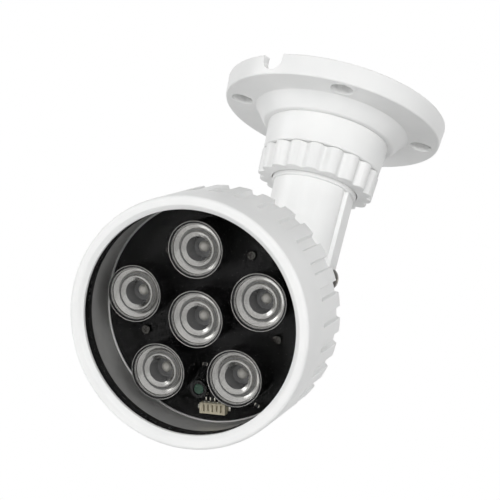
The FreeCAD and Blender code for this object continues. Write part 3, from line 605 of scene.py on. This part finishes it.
def bracket_base():
    body = lathe("base_form", [
        (RIM_INNER_R, 0), (BASE_R, 0, 0.5), (UNDER_R, -BASE_DEPTH, 0.9),
        (FLARE_R, -BASE_DEPTH, 0.5), (FLARE_FOOT_R, NECK_TOP_Z + 0.2, 2.0),
        (NECK_TOP_R - 0.15, NECK_TOP_Z + 0.35, 0.1), (NECK_TOP_R, NECK_TOP_Z, 0.15),
        (NECK_END_R, NECK_END_Z, 0.8), (THREAD_R, NECK_END_Z), (THREAD_R, THREAD_END_Z, 0.4),
        (NECK_BORE_R, THREAD_END_Z), (NECK_BORE_R, HOLLOW_Z), (HOLLOW_R, PLATE_Z),
        (RIM_INNER_R, PLATE_Z)], 256)
    places = [on_ring(BOLT_CIRCLE_R, BOLT_PHASE + 360 / BOLT_COUNT * k)
              for k in range(BOLT_COUNT)]
    for x, y in places:
        boss = lathe("boss", [
            (0, PLATE_Z - 1), (BOLT_BOSS_R, PLATE_Z - 1), (BOLT_BOSS_R, 0), (0, 0)], 64)
        combined(body, moved(boss, x, y), "UNION")
    rim = [(BOLT_SINK_R + r, z - BASE_DEPTH, rounding) for r, z, rounding in SINK_RIM]
    floor_z = BOLT_SINK_DEPTH - BASE_DEPTH
    for x, y in places:
        hole = lathe("hole", [
            (0, -BASE_DEPTH - 2), *rim, (BOLT_SINK_R, floor_z), (BOLT_HOLE_R, floor_z),
            (BOLT_HOLE_R, 2), (0, 2)], 96)
        combined(body, moved(hole, x, y), "DIFFERENCE")
    centre = NOTCH_R - NOTCH_DEPTH
    notch = prism("notch", [
        (-NOTCH_R, 2), (-NOTCH_R, centre), (NOTCH_R, centre, 0, (0, -NOTCH_DEPTH)),
        (NOTCH_R, 2)], BASE_R, NOTCH_STEP)
    notch.data.transform(Matrix.Rotation(math.radians(90), 4, "X"))
    moved(notch, *on_ring(RIM_INNER_R - 2, NOTCH_ANGLE), 0, NOTCH_ANGLE + 90)
    combined(body, notch, "DIFFERENCE")
    softened(body, BASE_EDGE, 3)
    dress(body, "white_paint", "bracket", "bracket_base", PAINT)


def lobe_offset(angle):
    """How far the collar's outside lies inside its crest circle, at an angle."""
    pitch = 360 / COLLAR_LOBES
    away = abs((angle - COLLAR_PHASE + pitch / 2) % pitch - pitch / 2) / pitch
    if away < COLLAR_HALF:
        wave = 0.5 + 0.5 * math.cos(math.pi * away / COLLAR_HALF)
        return (COLLAR_VALLEY - COLLAR_CROWN) * wave + COLLAR_CROWN
    return COLLAR_CROWN * (1 - (away - COLLAR_HALF) / (0.5 - COLLAR_HALF)) ** 2


def lock_collar():
    def section(angle):
        inset = lobe_offset(angle)
        return outline([
            (COLLAR_BORE_R, COLLAR_TOP_Z), (COLLAR_TOP_R - inset, COLLAR_TOP_Z, COLLAR_EDGE),
            (COLLAR_END_R - inset, COLLAR_END_Z, COLLAR_EDGE),
            (COLLAR_MOUTH_R, COLLAR_END_Z, 0.3), (COLLAR_MOUTH_R, COLLAR_LIP_Z),
            (COLLAR_BORE_R, COLLAR_LIP_Z)])

    columns = COLLAR_LOBES * COLLAR_COLUMNS
    obj = swept("collar_form", [360 * k / columns for k in range(columns)], section)
    dress(obj, "white_paint", "collar", "lock_collar", PAINT)


# Elbow

def rounded_arm(node, body):
    """Copy of an arm's CAD node with its edges rounded."""
    obj = copy_of(nodes[node], f"{node}_form")
    work = bmesh.new()
    work.from_mesh(obj.data)
    bmesh.ops.remove_doubles(work, verts=work.verts, dist=1e-6)
    bmesh.ops.dissolve_limit(work, angle_limit=math.radians(0.5), verts=work.verts,
                             edges=work.edges)
    work.to_mesh(obj.data)
    work.free()
    softened(obj, ARM_EDGE * MM, 3, ARM_ANGLE)
    paint(obj, PAINT)
    enter(obj, body, node)


def pivot_screw():
    """Domed screw with a cross recess, drawn along Z and laid along X."""
    top, end = SCREW_HEAD_HEIGHT, SCREW_END_X - RIB_FACE_X
    body = lathe("screw_form", [
        (0, end, 0), (SCREW_R, end, 0.3), (SCREW_R, 0), (SCREW_HEAD_R, 0, 0.15),
        (SCREW_HEAD_R, top - SCREW_DOME, 0.3),
        (0, top, 0, (SCREW_HEAD_R * 0.56, top - 0.55))], 96)
    long, wide, deep = SCREW_SLOT
    for turn in SCREW_TURNS:
        slot = box("slot", -long, long, -wide, wide, top - deep, top + 1)
        combined(body, moved(slot, turn=turn), "DIFFERENCE")
    # Painted highlight: walls of the cross recess take bright steel as glints; the rest is dark
    # steel
    paint(body, SCREW, STEEL)
    for face in body.data.polygons:
        dome_z = top - SCREW_DOME * (away_from_axis(face) / SCREW_HEAD_R) ** 2
        inside = top - deep - 0.2 < face.center.z < dome_z - 0.1
        face.material_index = 1 if inside and away_from_axis(face) < SCREW_GLINT_R else 0
    body.data.transform(Matrix.Translation((RIB_FACE_X, 0, -PIVOT_DROP))
                        @ Matrix.Rotation(math.radians(90), 4, "Y"))
    dress(body, "screw_steel", "swivel_arm", "pivot_screw")


# Head shell

def tooth_section():
    """One pitch of the teeth as (degrees from the notch's middle, radius) points."""
    half = 180 / TEETH
    floor = math.degrees(NOTCH_FLOOR / 2 / TOOTH_FLOOR_R)
    top = math.degrees(NOTCH_TOP / 2 / BEZEL_R)
    scale = math.radians(1) * BEZEL_R
    line = outline([
        (0, TOOTH_FLOOR_R), (floor * scale, TOOTH_FLOOR_R, 0.35), (top * scale, BEZEL_R, 0.3),
        (half * scale, BEZEL_R)], TOOTH_STEP, False)
    return [(u / scale, r) for u, r in line]


def front_bezel():
    pitch_line = tooth_section()
    columns = []
    for k in range(TEETH):
        middle = TOOTH_PHASE + 360 / TEETH * k
        columns += [(middle - u, r) for u, r in reversed(pitch_line)][:-1]
        columns += [(middle + u, r) for u, r in pitch_line][:-1]
    radius_at = dict(columns)
    plain_z, run_z = TOOTH_START - TOOTH_RUN, TOOTH_START + TOOTH_RUN
    rear_z = BEZEL_LENGTH - TOOTH_EDGE
    rows = outline([
        (plain_z, BEZEL_R), (TOOTH_START, BEZEL_R, 0.3),
        (TOOTH_START + 0.35, TOOTH_FLOOR_R, 0.35), (run_z, TOOTH_FLOOR_R)], TOOTH_STEP, False)
    rows += [(run_z + k * (rear_z - run_z) / 3, TOOTH_FLOOR_R) for k in (1, 2, 3)]
    rear = [(rear_z + TOOTH_EDGE * math.sin(a), BEZEL_R - TOOTH_EDGE * (1 - math.cos(a)))
            for a in map(math.radians, range(15, 91, 15))]
    face = outline([
        (BEZEL_BORE_R, LIP_BACK_Z), (LIP_R, LIP_BACK_Z, 0.3), (LIP_R, LIP_SETBACK, 0.45),
        (CHAMFER_R, 0, 0.8), (BEZEL_R, 0, 1.6), (BEZEL_R, plain_z)], LIP_STEP, False)

    def section(angle):
        top = radius_at[angle]
        points = list(face)
        points += [(max(top, r), z) for z, r in rows]
        points += [(min(max(top, TOOTH_FLOOR_R), r), z) for z, r in rear]
        points += [(BEZEL_BORE_R, BEZEL_LENGTH)]
        return points

    obj = swept("bezel_form", [a for a, _ in columns], section)
    dress(obj, "white_paint", "head", "front_bezel", PAINT)


def housing():
    body = lathe("housing_form", [
        (0, HOUSING_Z), (HOUSING_R, HOUSING_Z, 0.4), (HOUSING_R, DOME_Z),
        (DOME_END_R, REAR_Z, 0, DOME_MID), (0, REAR_Z)], step=4.0)
    dress(body, "white_paint", "head", "housing", PAINT)


def window():
    gasket = lathe("gasket_form", [
        (GASKET_INNER_R, LIP_BACK_Z), (GASKET_R, LIP_BACK_Z), (GASKET_R, GASKET_END_Z, 0.2),
        (GASKET_BACK_R, GASKET_END_Z, 0.4), (GASKET_BACK_R, GLASS_END_Z),
        (GLASS_R, GLASS_END_Z), (GLASS_R, GLASS_Z), (GASKET_INNER_R, GLASS_Z)])
    dress(gasket, "black_rubber", "head", "window_gasket", RUBBER)
    glass = lathe("glass_form", [
        (0, GLASS_Z), (GLASS_R, GLASS_Z, 0.2), (GLASS_R, GLASS_END_Z, 0.2), (0, GLASS_END_Z)])
    dress(glass, "clear_glass", "head", "window_glass", WINDOW)
    sleeve = lathe("sleeve_form", [
        (SLEEVE_INNER_R, GASKET_END_Z, 0.2), (SLEEVE_R, GASKET_END_Z), (SLEEVE_R, BOARD_Z),
        (SLEEVE_INNER_R - 0.5, BOARD_Z, 0.15), (SLEEVE_INNER_R - 0.4, BOARD_Z - 0.5, 0.15),
        (SLEEVE_INNER_R, BOARD_Z - 0.7)])
    dress(sleeve, "sleeve_silver", "head", "inner_sleeve", SLEEVE)


# Emitters

def emitter_places():
    angles = [BOARD_ROLL - 90 + 360 / EMITTER_COUNT * k for k in range(EMITTER_COUNT)]
    return [(0.0, 0.0)] + [on_ring(EMITTER_CIRCLE_R, a) for a in angles]


def lens_holder():
    """Black cup with a foot, and a thin ring at its front edge painted bright as a highlight."""
    ring_r, waist_r = HOLDER_R - RING_WIDTH, HOLDER_R - HOLDER_WAIST
    ring_z, rim_z, foot_z = HOLDER_Z + RING_HEIGHT, HOLDER_Z + HOLDER_RIM, BOARD_Z - HOLDER_FOOT
    obj = lathe("holder", [
        (HOLDER_BORE_R, ring_z, 0.12), (ring_r - 0.02, ring_z), (ring_r, HOLDER_Z, 0.1),
        (HOLDER_R, HOLDER_Z, 0.18), (HOLDER_R, rim_z, 0.1), (waist_r, rim_z + 0.3),
        (waist_r, foot_z), (HOLDER_FOOT_R, foot_z, 0.15), (HOLDER_FOOT_R, BOARD_Z),
        (HOLDER_BORE_R, BOARD_Z)], 128)
    paint(obj, HOLDER, RIM_HIGHLIGHT)
    # Painted highlight: the outer ring of the front edge takes the bright ring material
    for face in obj.data.polygons:
        if face.center.z < ring_z - 0.05 and away_from_axis(face) > ring_r - 0.01:
            face.material_index = 1
    return obj


def lens():
    """Moulded optic: outer bowl, raised ring with an inner bowl, deep eye with a pale dome. The
    eye's well and a line at the bowl's foot are painted dark as shade.
    """
    z = LENS_Z
    obj = lathe("lens", [
        (0, WELL_Z - DOME_RISE), (DOME_R, WELL_Z, 0, cap_middle(DOME_R, WELL_Z, -DOME_RISE)),
        (WELL_R, WELL_Z, 0.4), (4.5, INNER_EDGE[1] + 0.25), (*INNER_EDGE, 0.1), (*CREST, 0.5),
        (6.95, BOWL_FOOT[1] + 0.05, 0.15), BOWL_FOOT,
        (*BOWL_EDGE, 0.15, bulged(BOWL_FOOT, BOWL_EDGE, -0.1)), (9.25, z + 0.65, 0.1),
        (9.42, z + 0.3, 0.1), (9.55, z + 0.55, 0.05), (9.7, z + 0.1, 0.08), (9.82, z + 0.3),
        (LENS_R, z + 0.3), (LENS_R, z + 1.3), TAIL, (0, TAIL[1])], 128, 30.0, 6.0)
    paint(obj, BOWL, OPTIC_DARK_AND_SHADE, EYE)
    # Painted shade: the eye's well and a line at the bowl's foot take the dark optic material
    shade_start, shade_end = PAINTED_SHADE_LINE
    for face in obj.data.polygons:
        radius = away_from_axis(face)
        if radius < DOME_R and face.center.z < WELL_Z:
            face.material_index = 2
        elif (radius < INNER_EDGE[0] or shade_start < radius < shade_end
              or radius > DARK_EDGE_R or face.center.z > DARK_BACK_Z):
            face.material_index = 1
    return obj


def emitters():
    holder, optic = lens_holder(), lens()
    for number, (x, y) in enumerate(emitter_places(), 1):
        one = moved(copy_of(holder, f"holder_form_{number}"), x, y)
        dress(one, "holder_black", "head", f"lens_holder_{number}")
        one = moved(copy_of(optic, f"lens_form_{number}"), x, y)
        dress(one, "lens_clear", "head", f"lens_{number}")
    bpy.data.objects.remove(holder)
    bpy.data.objects.remove(optic)


# Things on the board

def on_board(obj, x, y):
    """Puts a piece drawn with +Y outward at (x, y) in the service direction's frame."""
    moved(obj, x, y)
    return moved(obj, turn=SERVICE_ANGLE - 90)


def connector():
    """Side-entry header: a comb over the pins, and a barred mouth with corner blocks."""
    half, deep, front = CONNECTOR_WIDTH / 2, CONNECTOR_DEEP / 2, CONNECTOR_Z
    mouth = deep - CONNECTOR_STEP
    parts = [box("back", -half, half, -deep, -deep + 0.7, front + 0.4, BOARD_Z),
             box("roof", -half, half, -deep, mouth, front + 1.5, front + 2.0),
             box("floor", -half, half, -deep, mouth, BOARD_Z - 0.5, BOARD_Z)]
    for s in (-1, 1):
        low, high = sorted((s * half, s * (half - 1.1)))
        parts.append(box("side", low, high, -deep, deep, front, BOARD_Z))
        low, high = sorted((s * 1.3, s * 2.1))
        parts.append(box("bar", low, high, deep - 1.1, deep, front, front + 1.0))
    for k in range(PIN_COUNT + 1):
        x = (k - PIN_COUNT / 2) * PIN_PITCH
        parts.append(box("rib", x - 0.5, x + 0.5, -deep + 0.3, mouth, front + 0.15, front + 1.6))
    parts.append(box("lip", -half, half, deep - 0.75, deep, front + 0.1, front + 0.8))
    body = parts[0]
    for part in parts[1:]:
        combined(body, part, "UNION")
    softened(body, 0.09)
    body.name = "connector_form"
    on_board(body, *CONNECTOR_PLACE)
    dress(body, "connector_cream", "head", "board_connector", CREAM)


def connector_pins():
    half, back = CONNECTOR_WIDTH / 2, -CONNECTOR_DEEP / 2
    parts = []
    for k in range(PIN_COUNT):
        x = (k - (PIN_COUNT - 1) / 2) * PIN_PITCH
        low, high, end = x - 0.25, x + 0.25, BOARD_Z - 0.1
        parts.append(box("pin", low, high, back - 1.75, back + 0.2, BOARD_Z - 0.55, end))
        parts.append(box("heel", low, high, back - 0.55, back + 0.2, CONNECTOR_Z + 1.0, end))
    for s in (-1, 1):
        low, high = sorted((s * (half - 0.1), s * (half + 1.5)))
        parts.append(box("tab", low, high, -0.8, 0.8, BOARD_Z - 0.95, BOARD_Z - 0.05))
    for part in parts:
        softened(part, 0.1)
    pins = on_board(joined("pins_form", parts), *CONNECTOR_PLACE)
    dress(pins, "pin_brass", "head", "connector_pins", TIN)


def light_sensor():
    back = SENSOR_Z + SENSOR_THICK
    can = lathe("sensor_form", [
        (0, SENSOR_Z), (SENSOR_R, SENSOR_Z, 0.25), (SENSOR_R, back, 0.1), (0, back)], 64)
    leads = [moved(lathe("lead", [
        (0, back - 0.1), (LEAD_R, back - 0.1), (LEAD_R, BOARD_Z), (0, BOARD_Z)], 16), x)
        for x in LEAD_PLACES]
    whole = joined("light_sensor_form", [can] + leads)
    moved(whole, *on_ring(SENSOR_CIRCLE_R, SERVICE_ANGLE))
    dress(whole, "sensor_green", "head", "light_sensor", SENSOR_GREEN)


def resistors():
    parts = []
    for k, (radius, angle) in enumerate(RESISTORS):
        pieces = [box("chip", -0.7, 0.7, -0.6, 0.6, BOARD_Z - 0.55, BOARD_Z)]
        for low, high in ((-1.0, -0.68), (0.68, 1.0)):
            pieces.append(box("cap", low, high, -0.6, 0.6, BOARD_Z - 0.6, BOARD_Z))
        for piece in pieces:
            softened(piece, 0.06)
            for face in piece.data.polygons:
                face.material_index = 0 if piece is pieces[0] else 1
        chip = moved(joined("chip", pieces), turn=RESISTOR_TURN * k)
        parts.append(moved(chip, *on_ring(radius, angle)))
    whole = joined("resistors_form", parts)
    for material in (DARK_CHIP, TIN):
        whole.data.materials.append(material)
    dress(whole, "chip_dark", "head", "board_resistors")


# Studio

CAMERA_PLACE = (0.18119, -0.57113, -0.23624)
CAMERA_FORWARD = (-0.32332, 0.91062, 0.25736)
CAMERA_UP = (-0.1676, -0.3228, 0.9315)
CAMERA_LENS = 100.8
FLOOR_Z = -2.4
FLOOR_SIZE = 16.0
FLOOR_GLOW = 0.5        # light that only camera, glossy and transmission rays meet
LAMP_TARGET = (0, -0.05, -0.08)
LAMP_REACH = 1.6
WORLD_LEVEL = 0.26      # light from all round for the other rays, where white is 1
WHITE = (1, 1, 1, 1)

# Azimuth from the front towards +X and height, in degrees; width in metres; watts; and whether
# glossy and transmission rays see the lamp
LAMPS = (
    ("left_low", -90, -45, 1.4, 7.6, True),
    ("left", -68, 12, 0.75, 4.2, True),
    ("front", 0, 0, 0.9, 10.8, False),
    ("right", 45, 0, 0.9, 8.8, False),
    ("right_low", 45, -45, 0.9, 3.4, False),
    ("back", 165, 30, 1.2, 7.0, False),
)


def add_camera():
    forward, up = Vector(CAMERA_FORWARD).normalized(), Vector(CAMERA_UP)
    right = forward.cross(up).normalized()
    up = right.cross(forward)
    camera = bpy.data.cameras.new("camera")
    camera.lens = CAMERA_LENS
    camera.clip_start = 0.01
    obj = linked("camera", camera)
    turn = Matrix((right, up, -forward)).transposed().to_4x4()
    obj.matrix_world = Matrix.Translation(CAMERA_PLACE) @ turn
    bpy.context.scene.camera = obj


def seen_rays(tree):
    """1 for camera, glossy and transmission rays, else 0."""
    path = tree.nodes.new("ShaderNodeLightPath")
    total = path.outputs["Is Camera Ray"]
    for other in ("Is Glossy Ray", "Is Transmission Ray"):
        add = tree.nodes.new("ShaderNodeMath")
        add.operation = "MAXIMUM"
        tree.links.new(total, add.inputs[0])
        tree.links.new(path.outputs[other], add.inputs[1])
        total = add.outputs[0]
    return total


def add_world():
    world = bpy.data.worlds.new("studio")
    world.use_nodes = True
    bpy.context.scene.world = world
    tree = world.node_tree
    background = tree.nodes["Background"]
    background.inputs["Color"].default_value = WHITE
    strength = tree.nodes.new("ShaderNodeMapRange")
    strength.inputs["To Min"].default_value = WORLD_LEVEL
    strength.inputs["To Max"].default_value = 1.0
    tree.links.new(seen_rays(tree), strength.inputs["Value"])
    tree.links.new(strength.outputs["Result"], background.inputs["Strength"])


def add_floor():
    half = FLOOR_SIZE / 2
    corners = [(-half, -half, 0), (half, -half, 0), (half, half, 0), (-half, half, 0)]
    floor = new_object("floor", corners, [(0, 1, 2, 3)])
    floor.location.z = FLOOR_Z
    s = Surface("floor", Base_Color=(*grey(0.8), 1), Roughness=0.9, Emission_Color=WHITE)
    s.drive("Emission Strength", s.ranged(seen_rays(s.tree), 0.0, FLOOR_GLOW, 0.0, 1.0))
    floor.data.materials.append(s.material)


def add_lamp(name, azimuth, height, size, watts, seen):
    """Disk lamp on a sphere round the middle of the piece."""
    across, up = math.radians(azimuth), math.radians(height)
    level = math.cos(up)
    way = Vector((math.sin(across) * level, -math.cos(across) * level, math.sin(up)))
    place = Vector(LAMP_TARGET) + LAMP_REACH * way
    lamp = bpy.data.lights.new(name, "AREA")
    lamp.shape = "DISK"
    lamp.size = size
    lamp.energy = watts
    obj = linked(name, lamp)
    turn = (-way).to_track_quat("-Z", "Y").to_matrix().to_4x4()
    obj.matrix_world = Matrix.Translation(place) @ turn
    obj.visible_glossy = seen
    obj.visible_transmission = seen


bpy.context.scene.view_settings.view_transform = "Standard"
add_camera()
add_world()
add_floor()
for lamp_row in LAMPS:
    add_lamp(*lamp_row)

dress_cad_nodes()
bracket_base()
lock_collar()
rounded_arm("upper_arm", "swivel_arm")
rounded_arm("lower_arm", "head")
pivot_screw()
front_bezel()
housing()
window()
emitters()
connector()
connector_pins()
light_sensor()
resistors()
